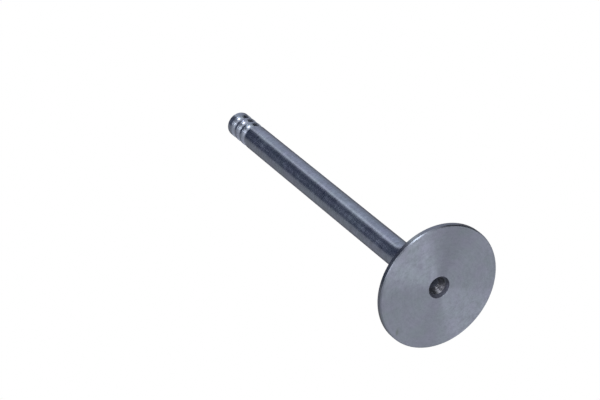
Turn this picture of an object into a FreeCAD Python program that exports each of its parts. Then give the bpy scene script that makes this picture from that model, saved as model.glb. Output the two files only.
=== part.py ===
import FreeCAD, Part
import Sketcher
import math
import os

# An engine valve: one steel forging, turned and ground all over.
# It stands on its head. The flat face that looks into the cylinder is at height 0,
# and the stem rises along +Z to the tip. Lengths are in millimetres, angles in degrees.

NODE = "valve"

# Driving dimensions: name, value, and what it is on the valve
SIZES = [
    ("head_diameter", 37.0, "outside of the head, across the margin"),
    ("margin_height", 1.55, "straight rim between the face and the seat"),
    ("edge_break", 0.3, "bevel where the rim meets the face"),
    ("seat_angle", 45.0, "seat cone, measured from the face"),
    ("seat_width", 2.2, "seat, along its own slope"),
    ("back_angle", 25.0, "back of the head, measured from the face"),
    ("neck_radius", 19.0, "sweep from the back of the head into the stem"),
    ("stem_diameter", 7.97, "stem, ground to run in an 8 mm guide"),
    ("overall_length", 120.0, "face to tip"),
    ("tip_bevel", 0.8, "bevel round the tip"),
    ("tip_land", 3.05, "tip to the mouth of the nearest keeper groove"),
    ("groove_count", 3, "keeper grooves"),
    ("groove_width", 2.3, "mouth of a keeper groove, along the stem"),
    ("groove_depth", 1.0, "round bottom of a keeper groove, below the stem"),
    ("groove_land", 1.05, "full stem left between two keeper grooves"),
    ("groove_lip", 0.15, "rounding of the grooves' lips"),
    ("centre_mouth", 6.6, "centre hole, across its mouth in the face"),
    ("centre_angle", 60.0, "whole angle of the centre hole's cone"),
    ("pilot_diameter", 3.15, "small straight hole below the cone"),
    ("pilot_length", 2.4, "straight wall of the small hole"),
    ("drill_angle", 118.0, "whole angle of the drill's point"),
]

# What follows from the driving dimensions, as the sketches and features state it
HEAD_RADIUS = "sizes.head_diameter / 2"
STEM_RADIUS = "sizes.stem_diameter / 2"
GROOVE_RADIUS = "(sizes.groove_width ^ 2 / 4 + sizes.groove_depth ^ 2) / (2 * sizes.groove_depth)"
GROOVE_AXIS_OUT = f"{STEM_RADIUS} - sizes.groove_depth + {GROOVE_RADIUS}"
GROOVE_HEIGHT = "sizes.overall_length - sizes.tip_land - sizes.groove_width / 2"
GROOVE_PITCH = "sizes.groove_width + sizes.groove_land"
CONE_DEPTH = "(sizes.centre_mouth - sizes.pilot_diameter) / 2 / tan(sizes.centre_angle * 1 deg / 2)"

# Ends of a piece of sketch geometry, and the sketch's own origin
START, END, MIDDLE = range(1, 4)
ORIGIN = (-1, START)
UP = FreeCAD.Vector(0, 0, 1)

SAME = 1e-4


def make_sheet(doc):
    """The sheet that holds the driving dimensions."""
    sheet = doc.addObject("Spreadsheet::Sheet", "sizes")
    for row, (name, value, meaning) in enumerate(SIZES, start=1):
        sheet.set(f"A{row}", name)
        sheet.set(f"B{row}", str(value))
        sheet.setAlias(f"B{row}", name)
        sheet.set(f"C{row}", meaning)
    doc.recompute()
    return sheet


def origin_part(body, role):
    """One of the body's own origin planes or axes."""
    return next(item for item in body.Origin.OriginFeatures if item.Role == role)


def make_sketch(body, name, plane):
    """An empty sketch on one of the body's origin planes."""
    sketch = body.newObject("Sketcher::SketchObject", name)
    sketch.AttachmentSupport = [(origin_part(body, plane), "")]
    sketch.MapMode = "FlatFace"
    return sketch


def dimension(sketch, name, constraint, formula):
    """A named dimension of a sketch, tied to the sheet."""
    index = sketch.addConstraint(constraint)
    sketch.renameConstraint(index, name)
    sketch.setExpression(f"Constraints.{name}", formula)


def point(across, up):
    return FreeCAD.Vector(across, up, 0)


def line(sketch, start, end):
    return sketch.addGeometry(Part.LineSegment(start, end), False)


def draw_blank(sketch, sheet):
    """Half of the valve's section, from the face along the rim, seat, neck and stem to the tip."""
    seat = math.radians(sheet.seat_angle)
    back = math.radians(sheet.back_angle)
    head = sheet.head_diameter / 2
    shank = sheet.stem_diameter / 2
    seat_in = head - sheet.seat_width * math.cos(seat)
    seat_up = sheet.margin_height + sheet.seat_width * math.sin(seat)
    neck_out = shank + sheet.neck_radius * (1 - math.sin(back))
    neck_low = seat_up + (seat_in - neck_out) * math.tan(back)
    neck_high = neck_low + sheet.neck_radius * math.cos(back)

    face_centre = point(0, 0)
    face_edge = point(head, 0)
    seat_outside = point(head, sheet.margin_height)
    seat_inside = point(seat_in, seat_up)
    neck_foot = point(neck_out, neck_low)
    neck_top = point(shank, neck_high)
    tip_edge = point(shank, sheet.overall_length)
    tip_centre = point(0, sheet.overall_length)

    face = line(sketch, face_centre, face_edge)
    rim = line(sketch, face_edge, seat_outside)
    seat_line = line(sketch, seat_outside, seat_inside)
    back_line = line(sketch, seat_inside, neck_foot)
    stem = line(sketch, neck_top, tip_edge)
    tip = line(sketch, tip_edge, tip_centre)
    axis = line(sketch, tip_centre, face_centre)
    sweep = Part.Circle(point(shank + sheet.neck_radius, neck_high), UP, sheet.neck_radius)
    neck = sketch.addGeometry(Part.ArcOfCircle(sweep, math.pi, 1.5 * math.pi - back), False)

    for first, second in [(face, rim), (rim, seat_line), (seat_line, back_line), (stem, tip),
                          (tip, axis), (axis, face)]:
        sketch.addConstraint(Sketcher.Constraint("Coincident", first, END, second, START))
    sketch.addConstraint(Sketcher.Constraint("Coincident", face, START, *ORIGIN))
    sketch.addConstraint(Sketcher.Constraint("Tangent", back_line, END, neck, END))
    sketch.addConstraint(Sketcher.Constraint("Tangent", neck, START, stem, START))
    for level in (face, tip):
        sketch.addConstraint(Sketcher.Constraint("Horizontal", level))
    for upright in (rim, stem, axis):
        sketch.addConstraint(Sketcher.Constraint("Vertical", upright))

    dimension(sketch, "head_radius",
              Sketcher.Constraint("DistanceX", *ORIGIN, face, END, head), HEAD_RADIUS)
    dimension(sketch, "margin",
              Sketcher.Constraint("DistanceY", rim, START, rim, END, sheet.margin_height),
              "sizes.margin_height")
    dimension(sketch, "seat_slope",
              Sketcher.Constraint("Angle", seat_line, math.pi - seat),
              "180 deg - sizes.seat_angle * 1 deg")
    dimension(sketch, "seat_length",
              Sketcher.Constraint("Distance", seat_line, sheet.seat_width), "sizes.seat_width")
    dimension(sketch, "back_slope",
              Sketcher.Constraint("Angle", back_line, math.pi - back),
              "180 deg - sizes.back_angle * 1 deg")
    dimension(sketch, "neck_sweep",
              Sketcher.Constraint("Radius", neck, sheet.neck_radius), "sizes.neck_radius")
    dimension(sketch, "stem_radius",
              Sketcher.Constraint("DistanceX", *ORIGIN, stem, END, shank), STEM_RADIUS)
    dimension(sketch, "length",
              Sketcher.Constraint("DistanceY", *ORIGIN, tip, END, sheet.overall_length),
              "sizes.overall_length")


def worth(sketch, formula):
    """The number that a formula gives now."""
    result = sketch.evalExpression(formula)
    return getattr(result, "Value", result)


def draw_round(sketch, radius, centre=None):
    """A circle that follows a radius formula and two centre formulas, else sits on the origin."""
    size = worth(sketch, radius)
    if centre is None:
        circle = sketch.addGeometry(Part.Circle(point(0, 0), UP, size), False)
        sketch.addConstraint(Sketcher.Constraint("Coincident", circle, MIDDLE, *ORIGIN))
    else:
        across, up = (worth(sketch, formula) for formula in centre)
        circle = sketch.addGeometry(Part.Circle(point(across, up), UP, size), False)
        dimension(sketch, "across",
                  Sketcher.Constraint("DistanceX", *ORIGIN, circle, MIDDLE, across), centre[0])
        dimension(sketch, "up",
                  Sketcher.Constraint("DistanceY", *ORIGIN, circle, MIDDLE, up), centre[1])
    dimension(sketch, "radius", Sketcher.Constraint("Radius", circle, size), radius)


def revolve(body, kind, name, sketch):
    """A full turn of the sketch about the valve's axis, added or cut away."""
    turned = body.newObject(kind, name)
    turned.Profile = sketch
    turned.ReferenceAxis = (origin_part(body, "Z_Axis"), [""])
    turned.setExpression("Angle", "360 deg")
    body.Tip = turned
    return turned


def repeat_down(body, name, feature):
    """Copies of a feature, one pitch apart, towards the head."""
    row = body.newObject("PartDesign::LinearPattern", name)
    row.Originals = [feature]
    row.Direction = (origin_part(body, "Z_Axis"), [""])
    row.Reversed = True
    row.Mode = "Spacing"
    row.setExpression("Offset", GROOVE_PITCH)
    row.setExpression("Occurrences", "sizes.groove_count")
    body.Tip = row
    return row


def round_edges(feature, radius, lowest, highest):
    """Names of the feature's circular edges of one radius, between two heights."""
    names = []
    for number, edge in enumerate(feature.Shape.Edges, start=1):
        ring = edge.Curve
        if not isinstance(ring, Part.Circle):
            continue
        if abs(ring.Radius - radius) < SAME and lowest - SAME < ring.Center.z < highest + SAME:
            names.append(f"Edge{number}")
    return names


def dress(body, kind, name, feature, edges, size, formula):
    """A chamfer or a fillet on edges of the feature before it."""
    trim = body.newObject(kind, name)
    trim.Base = (feature, edges)
    trim.setExpression(size, formula)
    body.Tip = trim
    return trim


def bore_centre(body, name, sketch):
    """The centre hole: a cone with a small straight hole and a drill's point below it."""
    hole = body.newObject("PartDesign::Hole", name)
    hole.Profile = sketch
    hole.ThreadType = "None"
    hole.DepthType = "Dimension"
    hole.HoleCutType = "Countersink"
    hole.HoleCutCustomValues = True
    hole.DrillPoint = "Angled"
    hole.DrillForDepth = False
    hole.Reversed = True
    hole.setExpression("Diameter", "sizes.pilot_diameter")
    hole.setExpression("HoleCutDiameter", "sizes.centre_mouth")
    hole.setExpression("HoleCutCountersinkAngle", "sizes.centre_angle * 1 deg")
    hole.setExpression("DrillPointAngle", "sizes.drill_angle * 1 deg")
    hole.setExpression("Depth", f"{CONE_DEPTH} + sizes.pilot_length")
    body.Tip = hole
    return hole


def make_valve(doc, sheet):
    """The one body: turned blank, keeper grooves, broken edges, centre hole."""
    body = doc.addObject("PartDesign::Body", NODE)
    body.Label = NODE
    shank = sheet.stem_diameter / 2

    section = make_sketch(body, "section", "XZ_Plane")
    draw_blank(section, sheet)
    blank = revolve(body, "PartDesign::Revolution", "turned_blank", section)
    doc.recompute()

    ring = make_sketch(body, "groove_section", "XZ_Plane")
    draw_round(ring, GROOVE_RADIUS, (GROOVE_AXIS_OUT, GROOVE_HEIGHT))
    groove = revolve(body, "PartDesign::Groove", "keeper_groove", ring)
    doc.recompute()
    grooves = repeat_down(body, "keeper_grooves", groove)
    doc.recompute()

    lip_edges = round_edges(grooves, shank, sheet.overall_length / 2, sheet.overall_length - SAME * 2)
    lips = dress(body, "PartDesign::Fillet", "groove_lips", grooves, lip_edges,
                 "Radius", "sizes.groove_lip")
    doc.recompute()
    tip_edges = round_edges(lips, shank, sheet.overall_length, sheet.overall_length)
    tip = dress(body, "PartDesign::Chamfer", "tip_bevel", lips, tip_edges, "Size", "sizes.tip_bevel")
    doc.recompute()
    face_edges = round_edges(tip, sheet.head_diameter / 2, 0, 0)
    face = dress(body, "PartDesign::Chamfer", "edge_break", tip, face_edges, "Size", "sizes.edge_break")
    doc.recompute()

    mark = make_sketch(body, "centre_mark", "XY_Plane")
    draw_round(mark, "sizes.pilot_diameter / 2")
    doc.recompute()
    hole = bore_centre(body, "centre_hole", mark)
    doc.recompute()

    if len(lip_edges) != 2 * int(sheet.groove_count):
        raise RuntimeError(f"{len(lip_edges)} lips found on {sheet.groove_count} grooves")
    steps = [blank, groove, grooves, lips, tip, face, hole]
    for before, after in zip(steps, steps[1:]):
        removed = before.Shape.Volume - after.Shape.Volume
        print(f"{after.Name}: removes {removed:.3f} cubic mm")
        if removed <= 0:
            raise RuntimeError(f"{after.Name} cuts nothing")
    return body


def check(doc, bodies):
    """Every object recomputed well, and every body one sound solid."""
    for item in doc.Objects:
        if {"Invalid", "Error"} & set(item.State):
            raise RuntimeError(f"{item.Name} failed: {item.State}")
    for body in bodies:
        shape = body.Shape
        if shape.isNull() or not shape.isValid() or len(shape.Solids) != 1:
            raise RuntimeError(f"{body.Label} isn't one sound solid")


def main():
    doc = FreeCAD.newDocument("engine_valve")
    sheet = make_sheet(doc)
    bodies = [make_valve(doc, sheet)]
    check(doc, bodies)
    os.makedirs("parts", exist_ok=True)
    for body in bodies:
        body.Shape.exportStep(f"parts/{body.Label}.step")
        box = body.Shape.optimalBoundingBox()
        print(f"{body.Label}: {box.XLength:.2f} x {box.YLength:.2f} x {box.ZLength:.2f} mm, "
              f"{body.Shape.Volume:.0f} cubic mm")


main()
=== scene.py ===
# %% [markdown]
# # An engine valve
# This file is a lesson in cells. It dresses one part, an engine valve, for a picture.
# A real valve is forged from one bar of steel, then turned, and then ground where it has to
# fit: on the stem, on the seat and on the tip. So there is one piece to make here, and what
# tells the eye that it is steel is the tool marks that each of those steps leaves behind.

# %% Load the valve as it was built
import math

import bpy
from mathutils import Matrix, Vector


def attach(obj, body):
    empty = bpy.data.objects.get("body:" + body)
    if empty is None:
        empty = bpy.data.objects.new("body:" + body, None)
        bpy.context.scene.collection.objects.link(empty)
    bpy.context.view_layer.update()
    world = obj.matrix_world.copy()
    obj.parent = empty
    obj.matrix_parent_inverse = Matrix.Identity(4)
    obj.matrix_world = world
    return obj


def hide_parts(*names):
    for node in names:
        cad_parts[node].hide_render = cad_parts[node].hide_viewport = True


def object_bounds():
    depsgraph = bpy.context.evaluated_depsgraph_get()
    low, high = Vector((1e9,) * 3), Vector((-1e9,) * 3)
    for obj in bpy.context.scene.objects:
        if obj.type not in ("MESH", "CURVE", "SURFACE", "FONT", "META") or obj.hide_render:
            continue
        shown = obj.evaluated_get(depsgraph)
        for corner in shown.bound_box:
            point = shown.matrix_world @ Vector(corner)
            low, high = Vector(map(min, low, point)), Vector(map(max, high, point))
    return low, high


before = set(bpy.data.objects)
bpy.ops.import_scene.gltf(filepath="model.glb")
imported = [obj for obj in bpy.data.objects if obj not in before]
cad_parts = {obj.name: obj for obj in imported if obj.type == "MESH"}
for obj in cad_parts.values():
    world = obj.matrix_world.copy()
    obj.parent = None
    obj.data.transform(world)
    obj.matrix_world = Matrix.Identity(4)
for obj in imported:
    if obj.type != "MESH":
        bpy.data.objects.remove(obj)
MM = 0.001
built_low, built_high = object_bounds()
HEAD = (built_high.x - built_low.x) / 2 / MM
LENGTH = built_high.z / MM
print(f"The valve is {LENGTH:.1f} mm long and its head is {2 * HEAD:.1f} mm across")

# %% [markdown]
# ## Where the camera stands
# A photograph tells where it was taken from. The round head shows as an ellipse, and the
# stem gets narrower towards the tip. From these two, the lean of the stem, the distance and
# the lens follow. They are written here as they were measured, and the code turns them into
# a place and a direction. The valve stands on its head in this file, so a camera that sees
# the face of the head is below it, looking up.

# %% What was measured in the photograph
# The picture and the place in it are in pixels, the lens and its sensor in millimetres
PICTURE = (600, 400)
FACE_CENTRE = (439.2, 287.4)
DISTANCE_IN_HEADS = 29.37
LEAN = math.radians(43.24)
STEM_POINTS = math.radians(180 - 39.33)
LENS = 120
SENSOR = 36

# How near and how far the camera sees, in metres
NEAREST = 0.01
FARTHEST = 20

# %% Place the camera
focal = PICTURE[0] * LENS / SENSOR
sight = Vector(((FACE_CENTRE[0] - PICTURE[0] / 2) / focal,
                (PICTURE[1] / 2 - FACE_CENTRE[1]) / focal, -1)).normalized()
right = (Vector((1, 0, 0)) - sight * sight.x).normalized()
up = right.cross(sight)
stem_seen = (right * math.cos(STEM_POINTS) + up * math.sin(STEM_POINTS)) * math.sin(LEAN)
stem_seen += sight * math.cos(LEAN)
near_side = (stem_seen * sight.dot(stem_seen) - sight).normalized()
turn = Matrix((stem_seen.cross(near_side), -near_side, stem_seen))

camera = bpy.data.objects.new("camera", bpy.data.cameras.new("camera"))
bpy.context.scene.collection.objects.link(camera)
camera.data.lens = LENS
camera.data.sensor_width = SENSOR
camera.matrix_world = (Matrix.Translation(turn @ sight * -DISTANCE_IN_HEADS * HEAD * MM)
                       @ turn.to_4x4())
camera.data.clip_start = NEAREST
camera.data.clip_end = FARTHEST
bpy.context.scene.camera = camera
print("The camera stands at", [round(x / MM) for x in camera.matrix_world.translation], "mm")

# %% [markdown]
# ## The valve's outline
# The valve is round, so one line drawn from its centre hole, along the face, round the rim,
# over the seat, up the neck and the stem to the tip says all about its shape. No edge on the
# real valve is a perfect corner: a tool or a stone breaks each one. So the line is a row of
# corners, each with its own rounding. Even the long sweep of the neck is such a rounding,
# of 19 mm, and a keeper groove is three of them: a lip, a round bottom and another lip.
#
# One corner is no bend at all. It lies on the cone of the centre hole and only marks where the
# dark band at the lip ends, so that the lip can have a material of its own, which paints shade there.

# %% Sizes of the valve, in millimetres
STEM = 7.97 / 2
MARGIN = 1.55
EDGE_BREAK = 0.3
SEAT_WIDTH = 2.2
SEAT_SLOPE = math.radians(45)
BACK_SLOPE = math.radians(25)
NECK_SWEEP = 19.0
TIP_BEVEL = 0.8
GROOVES = 3
GROOVE_WIDTH = 2.3
GROOVE_DEPTH = 1.0
GROOVE_LAND = 1.05
GROOVE_LIP = 0.15
TIP_LAND = 3.05
CENTRE_MOUTH = 6.6 / 2
CENTRE_SLOPE = math.radians(60 / 2)
PILOT = 3.15 / 2
PILOT_LENGTH = 2.4
LIP_DEPTH = 1.1
DRILL_SLOPE = math.radians(118 / 2)

# How much the sharpest corners are rounded, and the ones that are a little softer
CRISP = 0.04
SOFT = 0.08

# %% The corners, from the bottom of the centre hole to the tip
cone_depth = (CENTRE_MOUTH - PILOT) / math.tan(CENTRE_SLOPE)
pilot_depth = cone_depth + PILOT_LENGTH
lip_radius = CENTRE_MOUTH - LIP_DEPTH * math.tan(CENTRE_SLOPE)
seat_in = HEAD - SEAT_WIDTH * math.cos(SEAT_SLOPE)
seat_top = MARGIN + SEAT_WIDTH * math.sin(SEAT_SLOPE)
neck_corner = seat_top + (seat_in - STEM) * math.tan(BACK_SLOPE)

# Each corner: distance from the axis, height, rounding, and the finish of what follows it
corners = [
    (0, pilot_depth + PILOT / math.tan(DRILL_SLOPE), 0, "pilot"),
    (PILOT, pilot_depth, CRISP, "pilot"),
    (PILOT, cone_depth, CRISP, "centre_hole"),
    (lip_radius, LIP_DEPTH, 0, "centre_lip"),
    (CENTRE_MOUTH, 0, SOFT, "face"),
    (HEAD - EDGE_BREAK, 0, SOFT, "edge"),
    (HEAD, EDGE_BREAK, SOFT, "margin"),
    (HEAD, MARGIN, CRISP, "seat"),
    (seat_in, seat_top, CRISP, "neck"),
    (STEM, neck_corner, NECK_SWEEP, "stem"),
]

round_bottom = (GROOVE_WIDTH ** 2 / 4 + GROOVE_DEPTH ** 2) / (2 * GROOVE_DEPTH)
bottom_axis = STEM - GROOVE_DEPTH + round_bottom
lip_turn = math.acos((bottom_axis - STEM + GROOVE_LIP) / (round_bottom + GROOVE_LIP))
lip_reach = (round_bottom + GROOVE_LIP) * math.sin(lip_turn) - GROOVE_LIP * math.tan(lip_turn / 2)
for number in reversed(range(GROOVES)):
    middle = LENGTH - TIP_LAND - GROOVE_WIDTH / 2 - number * (GROOVE_WIDTH + GROOVE_LAND)
    corners += [
        (STEM, middle - lip_reach, GROOVE_LIP, "groove"),
        (bottom_axis - round_bottom / math.cos(lip_turn), middle, round_bottom, "groove"),
        (STEM, middle + lip_reach, GROOVE_LIP, "stem"),
    ]
corners += [
    (STEM, LENGTH - TIP_BEVEL, SOFT, "bevel"),
    (STEM - TIP_BEVEL, LENGTH, SOFT, "tip"),
    (0, LENGTH, 0, "tip"),
]
print(f"The outline has {len(corners)} corners")

# %% [markdown]
# ## From corners to a smooth line
# A rounding starts a little before its corner and ends as far behind it. Between the two the
# line turns evenly. Keeping the direction of the line at every point pays off: turned by a
# quarter, it is the direction in which the steel faces, and reflections follow that. So the
# shading is exact, and even a narrow bevel shines as a clean line.

# %% Round the corners
# A rounding turns by no more than this at a point, and has at least so many steps
FINEST_TURN = math.radians(6)
FEWEST_STEPS = 3

# No straight piece of the line is longer than this, in millimetres
LONGEST_STEP = 2.0


def round_corner(before, corner, after, rounding):
    """Points on the rounding of one corner, each with the direction of the line there."""
    arriving = (corner - before).normalized()
    leaving = (after - corner).normalized()
    if not rounding:
        return [(corner, arriving)]
    bend = math.atan2(arriving.cross(leaving), arriving.dot(leaving))
    start = corner - arriving * rounding * math.tan(abs(bend) / 2)
    side = Vector((-arriving.y, arriving.x)) * math.copysign(rounding, bend)
    centre = start + side
    steps = max(FEWEST_STEPS, math.ceil(abs(bend) / FINEST_TURN))
    stations = []
    for step in range(steps + 1):
        swing = Matrix.Rotation(bend * step / steps, 2)
        stations.append((centre - swing @ side, swing @ arriving))
    return stations


line = []
for before, corner, after in zip(corners, corners[1:], corners[2:]):
    places = [Vector(item[:2]) for item in (before, corner, after)]
    turned = round_corner(*places, corner[2])
    if not line:
        line.append((places[0], turned[0][1], corners[0][3]))
    line += [(place, along, before[3]) for place, along in turned[:1]]
    line += [(place, along, corner[3]) for place, along in turned[1:]]
line.append((Vector(corners[-1][:2]), Vector((-1, 0)), "tip"))

outline = [line[0]]
for place, along, finish in line[1:]:
    last = outline[-1][0]
    pieces = max(1, math.ceil((place - last).length / LONGEST_STEP))
    for piece in range(1, pieces):
        outline.append((last.lerp(place, piece / pieces), outline[-1][1], finish))
    outline.append((place, along, finish))
print(f"The rounded outline has {len(outline)} points")

# %% [markdown]
# ## Turn the outline into the valve
# A lathe makes the valve by spinning it past a tool. The mesh is made in the same way: the
# outline is set round the axis again and again, and each pair of neighbours is joined by a
# strip of faces. The face, the seat, the stem and so on are made in different ways on the
# real valve, so each strip keeps the name of its finish and gets a material of its own.

# %% Spin the outline
AROUND = 256
FINISHES = ["pilot", "centre_hole", "centre_lip", "face", "edge", "margin", "seat", "neck", "stem",
            "groove", "bevel", "tip"]


def spin(name, outline, around):
    """A closed mesh of revolution, with exact normals and each face's material index set by its finish.
    """
    points, normals, rings = [], [], []
    for place, along, _ in outline:
        on_axis = place.x < CRISP
        first = len(points)
        for step in range(1 if on_axis else around):
            angle = step * math.tau / around
            cosine, sine = math.cos(angle), math.sin(angle)
            points.append((place.x * cosine * MM, place.x * sine * MM, place.y * MM))
            lean = 0 if on_axis else along.y
            normals.append(Vector((lean * cosine, lean * sine, -along.x)).normalized())
        rings.append([first] * around if on_axis else list(range(first, first + around)))

    faces, finishes = [], []
    for low, high, station in zip(rings, rings[1:], outline[1:]):
        for step in range(around):
            after = (step + 1) % around
            corners_of_face = [low[step], low[after], high[after], high[step]]
            faces.append(list(dict.fromkeys(corners_of_face)))
            finishes.append(FINISHES.index(station[2]))

    mesh = bpy.data.meshes.new(name)
    mesh.from_pydata(points, [], faces)
    mesh.polygons.foreach_set("material_index", finishes)
    mesh.polygons.foreach_set("use_smooth", [True] * len(faces))
    mesh.normals_split_custom_set_from_vertices(normals)
    mesh.update()
    thing = bpy.data.objects.new(name, mesh)
    bpy.context.scene.collection.objects.link(thing)
    return thing


valve = spin("engine_valve", outline, AROUND)
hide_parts("valve")
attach(valve, "root")
print(f"The valve has {len(valve.data.polygons)} faces")

# %% [markdown]
# ## Steel that has been cut on a lathe
# Every tool here goes round the valve, so every scratch is a ring. Rings mirror the light
# sharply along themselves and smear it across themselves. That is why a turned face shows a
# bright wedge from the centre to the rim. Blender calls it anisotropy. The tangent says which
# way the surface smears the light, and a quarter turn of it crosses the rings.
#
# On top of that come the marks themselves. Noise is laid over the steel in coordinates that
# go round and across, and the ones across count far more, so each blot of noise is drawn out
# to a long thin ring. A second, softer noise makes the steel a little uneven in tone.
#
# Two more things are small and still seen. The colour of the steel drifts a little between
# greenish and reddish from place to place. And the face mirrors as if it leaned by a few
# degrees along its radius, the way slanted marks of a facing tool would make it. The code calls
# that lean the flank.

# %% A helper that adds one node to a material
def put(tree, kind, inputs=None, **settings):
    """Adds a node. Its inputs are either plain values or outputs of other nodes."""
    made = tree.nodes.new("ShaderNode" + kind)
    for setting, value in settings.items():
        setattr(made, setting, value)
    for socket, value in (inputs or {}).items():
        if isinstance(value, bpy.types.NodeSocket):
            tree.links.new(value, made.inputs[socket])
        else:
            made.inputs[socket].default_value = value
    return made


# %% Where a point of the steel is: round the axis, and across the rings
def ring_coordinates(tree, across_face, around_detail, across_detail):
    """Coordinates that stretch noise into rings. Across is the radius on a face, else the height."""
    place = put(tree, "TexCoord").outputs["Object"]
    split = put(tree, "SeparateXYZ", {0: place})
    flat = put(tree, "CombineXYZ", {0: split.outputs[0], 1: split.outputs[1]}).outputs[0]
    outward = put(tree, "VectorMath", {0: flat}, operation="NORMALIZE").outputs[0]
    radius = put(tree, "VectorMath", {0: flat}, operation="LENGTH").outputs["Value"]
    round_about = put(tree, "VectorMath", {0: outward, 1: (around_detail,) * 3},
                      operation="MULTIPLY").outputs[0]
    across = radius if across_face else split.outputs[2]
    level = put(tree, "Math", {0: across, 1: across_detail / MM}, operation="MULTIPLY").outputs[0]
    lifted = put(tree, "CombineXYZ", {2: level}).outputs[0]
    rings = put(tree, "VectorMath", {0: round_about, 1: lifted}, operation="ADD").outputs[0]
    return rings, place, across


# %% The steel
# Noise below the first number counts as the least there is, and above the second as the most
NOISE_USED = (0.25, 0.75)
DRIFT_USED = (0.35, 0.65)

# How fine the noise of the marks and of the blots is
MARK_DETAIL = 3.0
MARK_ROUGHNESS = 0.6
BLOT_DETAIL = 6.0

# A quarter of a turn, which lays the smear across the rings
QUARTER_TURN = 0.25

# Size of a patch of tint in millimetres, and the two tints
TINT_SIZE = 5.0
GREENER = (0.978, 1.010, 0.975)
REDDER = (1.022, 0.990, 1.025)


def leant(colour, tint):
    """A colour that leans a little towards a tint."""
    return [part * share for part, share in zip(colour, tint)]


def steel(name, colour, roughness, smear, across_face=False, rings=3.0, ring_depth=1.5,
          ring_tone=0.06, around=2.5, mottle=0.08, mottle_size=2.5, grain=0.75, flank=0.0):
    """Turned or ground steel. Rings are counted per millimetre, and their depth is in microns."""
    material = bpy.data.materials.new(name)
    material.use_nodes = True
    tree = material.node_tree
    shader = tree.nodes["Principled BSDF"]

    coordinates, place, across = ring_coordinates(tree, across_face, around, rings)
    marks = put(tree, "TexNoise", {"Vector": coordinates, "Scale": 1.0, "Detail": MARK_DETAIL,
                                   "Roughness": MARK_ROUGHNESS}).outputs[0]
    blots = put(tree, "TexNoise", {"Vector": place, "Scale": 1 / (mottle_size * MM),
                                   "Detail": BLOT_DETAIL, "Roughness": grain}).outputs[0]

    tone = put(tree, "MapRange", {0: marks, 1: NOISE_USED[0], 2: NOISE_USED[1],
                                  3: 1 - ring_tone, 4: 1 + ring_tone}).outputs[0]
    cloud = put(tree, "MapRange", {0: blots, 1: NOISE_USED[0], 2: NOISE_USED[1],
                                   3: 1 - mottle, 4: 1 + mottle}).outputs[0]
    shade = put(tree, "Math", {0: tone, 1: cloud}, operation="MULTIPLY").outputs[0]
    drift = put(tree, "TexNoise", {"Vector": place, "Scale": 1 / (TINT_SIZE * MM)}).outputs[0]
    leaning = put(tree, "MapRange", {0: drift, 1: DRIFT_USED[0], 2: DRIFT_USED[1]}).outputs[0]
    tint = put(tree, "MixRGB", {"Fac": leaning, "Color1": (*leant(colour, GREENER), 1),
                                "Color2": (*leant(colour, REDDER), 1)}).outputs[0]
    tinted = put(tree, "VectorMath", {0: tint, "Scale": shade}, operation="SCALE").outputs[0]
    tree.links.new(tinted, shader.inputs["Base Color"])

    polish = put(tree, "MapRange", {0: blots, 1: NOISE_USED[0], 2: NOISE_USED[1],
                                    3: roughness * (1 - mottle),
                                    4: roughness * (1 + mottle)}).outputs[0]
    tree.links.new(polish, shader.inputs["Roughness"])
    relief = put(tree, "Bump", {"Height": marks, "Distance": ring_depth * MM * MM, "Strength": 1.0})
    if flank:
        fall = put(tree, "Math", {0: across, 1: -math.tan(flank)}, operation="MULTIPLY").outputs[0]
        flanks = put(tree, "Bump", {"Height": fall, "Distance": 1.0, "Strength": 1.0})
        tree.links.new(flanks.outputs[0], relief.inputs["Normal"])
    tree.links.new(relief.outputs[0], shader.inputs["Normal"])
    round_axis = put(tree, "Tangent", direction_type="RADIAL", axis="Z")
    tree.links.new(round_axis.outputs[0], shader.inputs["Tangent"])
    shader.inputs["Metallic"].default_value = 1.0
    shader.inputs["Anisotropic"].default_value = smear
    shader.inputs["Anisotropic Rotation"].default_value = QUARTER_TURN
    return material


# %% [markdown]
# ## A stain
# The photograph shows one small stain on the face, near the rim. It is darker and less blue
# than the steel round it. Noise is added to the distance from its middle, which makes its edge
# ragged.

# %% A stain on the face
# Its middle and its length and width are in millimetres
STAIN_MIDDLE = (-16.6, -1.5)
STAIN_SIZE = (2.6, 1.2)
STAIN_TURN = math.radians(140)
STAINED = (0.182, 0.204, 0.214)
STAIN_RAGGED = 1.5
STAIN_DETAIL = 3.0

# The stain is full up to the first distance and gone at the second, in half sizes of the oval
STAIN_FULL = 0.8
STAIN_GONE = 1.6


def stain(material, middle, size, turn, colour):
    """An oval stain with a ragged edge, near the rim."""
    tree = material.node_tree
    shader = tree.nodes["Principled BSDF"]
    clean = shader.inputs["Base Color"].links[0].from_socket
    place = put(tree, "TexCoord").outputs["Object"]
    oval = put(tree, "Mapping", {"Vector": place, "Location": (middle[0] * MM, middle[1] * MM, 0),
                                 "Rotation": (0, 0, turn),
                                 "Scale": (size[0] / 2 * MM, size[1] / 2 * MM, 1)},
               vector_type="TEXTURE").outputs[0]
    away = put(tree, "VectorMath", {0: oval}, operation="LENGTH").outputs["Value"]
    ragged = put(tree, "TexNoise", {"Vector": oval, "Scale": STAIN_RAGGED,
                                    "Detail": STAIN_DETAIL}).outputs[0]
    reach = put(tree, "Math", {0: away, 1: ragged}, operation="ADD").outputs[0]
    dirty = put(tree, "MapRange", {0: reach, 1: STAIN_FULL, 2: STAIN_GONE,
                                   3: 1.0, 4: 0.0}).outputs[0]
    mixed = put(tree, "MixRGB", {"Fac": dirty, "Color1": clean, "Color2": (*colour, 1)}).outputs[0]
    tree.links.new(mixed, shader.inputs["Base Color"])
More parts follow.
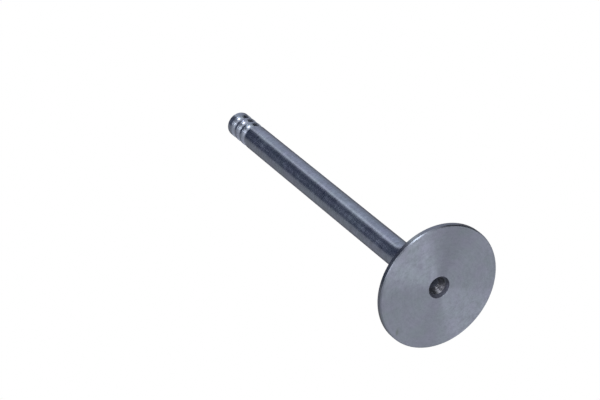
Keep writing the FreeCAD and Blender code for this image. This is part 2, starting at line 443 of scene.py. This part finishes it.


# %% [markdown]
# ## One steel, finished in twelve ways
# All of the valve is one steel. What differs is what was done to it last, and in some places the
# shade and light that fall there, painted into the colour. The face was turned, the stem was
# ground, and the centre hole was drilled. In the photograph the hole is dark, most of all at its
# lip, and here the hole and its lip are painted that dark, as painted shade. The rim and the
# broken edge are painted darker as shade too, and the grooves lighter, as a painted highlight.
# The flat end of the tip isn't in the photograph. It is made the brightest here, as a freshly
# ground end, and its bevel has the colour of the stem.

# %% Colours of the steel, and what was done to it
STEEL = (0.248, 0.268, 0.325)
FACED = (0.242, 0.262, 0.317)
GROUND = (0.244, 0.276, 0.354)
# The grooves are lighter than the stem: a painted highlight that makes their bright spots brighter.
GROOVE_PAINTED_HIGHLIGHT = (0.305, 0.340, 0.420)
POLISHED = (0.50, 0.53, 0.60)
# The broken edge is darker than the face: painted shade that tones down the highlight along it.
EDGE_PAINTED_SHADE = (0.205, 0.225, 0.275)
# The rim is darker still: painted shade for the dark line round the face.
MARGIN_PAINTED_SHADE = (0.172, 0.189, 0.231)
# The cone of the centre hole is much darker than the steel: painted shade in the hole.
HOLE_PAINTED_SHADE = (0.138, 0.141, 0.163)
# Its lip is the darkest of all: painted shade at the mouth of the hole.
LIP_PAINTED_SHADE = (0.10, 0.106, 0.14)
FLANK = math.radians(5)

# Each finish: its name, its colour, how rough it is and how far it smears the light
finishes = {
    "pilot": steel("drilled_pilot", STEEL, 0.6, 0.3, rings=2.0, ring_depth=8.0, ring_tone=0.3),
    "centre_hole": steel("drilled_cone_painted_shade", HOLE_PAINTED_SHADE, 0.40, 0.7, rings=2.6, ring_depth=110.0, ring_tone=0.7,
                         around=1.4, mottle=0.5, mottle_size=0.9),
    "centre_lip": steel("drilled_lip_painted_shade", LIP_PAINTED_SHADE, 0.8, 0.1, rings=3.0, ring_depth=50.0, ring_tone=0.6,
                        around=1.4, mottle=0.4, mottle_size=0.9),
    "face": steel("turned_face", FACED, 0.48, 0.75, across_face=True, rings=4.0, ring_tone=0.07,
                  mottle=0.42, mottle_size=2.0, grain=1.0, flank=FLANK),
    "edge": steel("broken_edge_painted_shade", EDGE_PAINTED_SHADE, 0.40, 0.85, ring_depth=0.6),
    "margin": steel("turned_margin_painted_shade", MARGIN_PAINTED_SHADE, 0.24, 0.8, rings=6.0),
    "seat": steel("ground_seat", STEEL, 0.28, 0.8, rings=8.0),
    "neck": steel("turned_neck", GROUND, 0.24, 0.8, rings=4.0, ring_tone=0.12, mottle=0.16),
    "stem": steel("ground_stem", GROUND, 0.24, 0.85, rings=5.0, ring_depth=0.5, ring_tone=0.3,
                  mottle=0.36, mottle_size=8.0, grain=0.9),
    "groove": steel("turned_grooves_painted_highlight", GROOVE_PAINTED_HIGHLIGHT, 0.28, 0.8, rings=6.0, ring_depth=0.5, mottle=0.04),
    "bevel": steel("ground_bevel", GROUND, 0.30, 0.6, across_face=True, rings=6.0),
    "tip": steel("ground_tip", POLISHED, 0.34, 0.6, across_face=True, rings=6.0),
}
stain(finishes["face"], STAIN_MIDDLE, STAIN_SIZE, STAIN_TURN, STAINED)
for finish in FINISHES:
    valve.data.materials.append(finishes[finish])
print("Finishes:", ", ".join(material.name for material in finishes.values()))

# %% [markdown]
# ## Light for bare metal
# Bare metal has hardly any look of its own: it shows the room. So the room comes first. It is
# white all over, and dark cards stand in it where the steel has to show a dark band. Only
# reflections see the cards. They throw no shadow and don't stand in the picture.
# Each card and lamp is placed by the direction in which the valve sees it: an azimuth, which
# is 0 towards the camera's side and grows to its right, and a height above the floor.

# %% A white room
world = bpy.data.worlds.new("white_room")
bpy.context.scene.world = world
world.use_nodes = True
world.node_tree.nodes["Background"].inputs["Color"].default_value = (1, 1, 1, 1)
bpy.context.scene.view_settings.view_transform = "Standard"

# %% Directions, cards and lamps
# How far away the lamps and the cards stand, in metres, and the steps along a card's side
LAMPS_AWAY = 1.5
CARDS_AWAY = 1.8
CARD_STEPS = 8
CENTRE = Vector((0, 0, LENGTH / 2 * MM))


def toward(azimuth, height):
    """A direction in the room, from two angles in degrees."""
    round_by = math.radians(azimuth)
    up_by = math.radians(height)
    return Vector((math.sin(round_by) * math.cos(up_by), -math.cos(round_by) * math.cos(up_by),
                   math.sin(up_by)))


def card(name, corners, tone):
    """A flat-toned card that only reflections see, with its corners given as directions."""
    mesh = bpy.data.meshes.new(name)
    places = [toward(*corner) * CARDS_AWAY for corner in corners]
    hub = sum(places, Vector()).normalized() * CARDS_AWAY
    edge = []
    for one, other in zip(places, places[1:] + places[:1]):
        edge += [one.slerp(other, step / CARD_STEPS) for step in range(CARD_STEPS)]
    rim = len(edge)
    mesh.from_pydata([CENTRE + place for place in [hub] + edge], [],
                     [(0, 1 + step, 1 + (step + 1) % rim) for step in range(rim)])
    material = bpy.data.materials.new(name)
    material.use_nodes = True
    tree = material.node_tree
    tree.nodes.remove(tree.nodes["Principled BSDF"])
    glow = put(tree, "Emission", {"Color": (*tone, 1)})
    tree.links.new(glow.outputs[0], tree.nodes["Material Output"].inputs["Surface"])
    mesh.materials.append(material)
    thing = bpy.data.objects.new(name, mesh)
    bpy.context.scene.collection.objects.link(thing)
    thing.visible_camera = thing.visible_diffuse = thing.visible_shadow = False
    thing.visible_transmission = thing.visible_volume_scatter = False
    return thing


def lamp(name, azimuth, height, across, brightness, tall=None):
    """A round or oval soft lamp. Its sizes are angles, and its brightness counts white as 1."""
    light = bpy.data.lights.new(name, "AREA")
    light.shape = "ELLIPSE"
    light.size = 2 * LAMPS_AWAY * math.tan(math.radians(across / 2))
    light.size_y = 2 * LAMPS_AWAY * math.tan(math.radians((tall or across) / 2))
    area = math.pi * light.size * light.size_y / 4
    light.energy = brightness * math.pi * area
    thing = bpy.data.objects.new(name, light)
    bpy.context.scene.collection.objects.link(thing)
    aim = toward(azimuth, height)
    thing.location = CENTRE + aim * LAMPS_AWAY
    thing.rotation_euler = aim.to_track_quat("Z", "Y").to_euler()
    return thing


# %% Set the cards and the lamps
card("front_card", [(-60, 17), (5, 20), (24.5, 46), (47, 61), (-60, 61)], (0.085, 0.10, 0.15))
card("high_card", [(-60, 61), (47, 61), (90, 70), (180, 85), (-60, 85)], (0.03, 0.034, 0.05))
card("low_card", [(-58, -75), (22, -75), (22, -32), (-58, -32)], (0.10, 0.10, 0.10))
card("low_left_card", [(-130, -75), (-60, -75), (-60, 4), (-130, 4)], (0.7, 0.7, 0.7))
card("low_right_card", [(75, -30), (86, -57), (130, -58), (130, 11), (75, 11)], (0.02, 0.022, 0.03))
card("left_card", [(-125, 5), (-60, 5), (-60, 80), (-125, 80)], (0.43, 0.43, 0.43))
card("back_card", [(125, 5), (235, 5), (235, 80), (125, 80)], (0.22, 0.22, 0.24))
card("side_card", [(90, 12), (125, 12), (125, 80), (90, 64)], (0.56, 0.58, 0.64))
card("right_card", [(52, 12), (90, 12), (90, 64), (52, 60)], (0.78, 0.80, 0.88))
lamp("key", 37.5, -39.6, 16, 12.5, tall=26)
lamp("low_left", -27, -42, 26, 9.8, tall=12)
lamp("side_left", -19, 10, 22, 2.1)
lamp("under", -30, -70, 14, 9.0)
lamp("stripe", 38, 47, 12, 0.7)
lamp("top", 180, 76, 24, 3.0)

# %% [markdown]
# ## The floor
# The valve stands on its head, and the camera looks at the face from below. A real floor
# would be in the way. This one is pale from above, where it shows the valve's shadow, and
# clear from below.

# %% Lay the floor
# The gap is in millimetres and the size in metres
FLOOR_GAP = 0.05
FLOOR_SIZE = 6.0
FLOOR_TONE = 0.80
FLOOR_ROUGHNESS = 0.9

mesh = bpy.data.meshes.new("floor")
half = FLOOR_SIZE / 2
mesh.from_pydata([(-half, -half, -FLOOR_GAP * MM), (half, -half, -FLOOR_GAP * MM),
                  (half, half, -FLOOR_GAP * MM), (-half, half, -FLOOR_GAP * MM)], [], [(0, 1, 2, 3)])
floor = bpy.data.objects.new("floor", mesh)
bpy.context.scene.collection.objects.link(floor)
material = bpy.data.materials.new("pale_floor")
material.use_nodes = True
tree = material.node_tree
shader = tree.nodes["Principled BSDF"]
shader.inputs["Base Color"].default_value = (FLOOR_TONE, FLOOR_TONE, FLOOR_TONE, 1)
shader.inputs["Roughness"].default_value = FLOOR_ROUGHNESS
shader.inputs["Specular IOR Level"].default_value = 0.0
from_below = put(tree, "NewGeometry").outputs["Backfacing"]
clear = put(tree, "BsdfTransparent").outputs[0]
mixed = put(tree, "MixShader", {0: from_below, 1: shader.outputs[0], 2: clear}).outputs[0]
tree.links.new(mixed, tree.nodes["Material Output"].inputs["Surface"])
mesh.materials.append(material)
floor.visible_shadow = floor.visible_glossy = False

# %% [markdown]
# ## The built size
# The dressed valve has to be as large as the valve that was built. The box of the built valve
# is printed.

# %% Print the size of the built valve
print("Built: ", [round(x / MM, 3) for x in (*built_low, *built_high)])
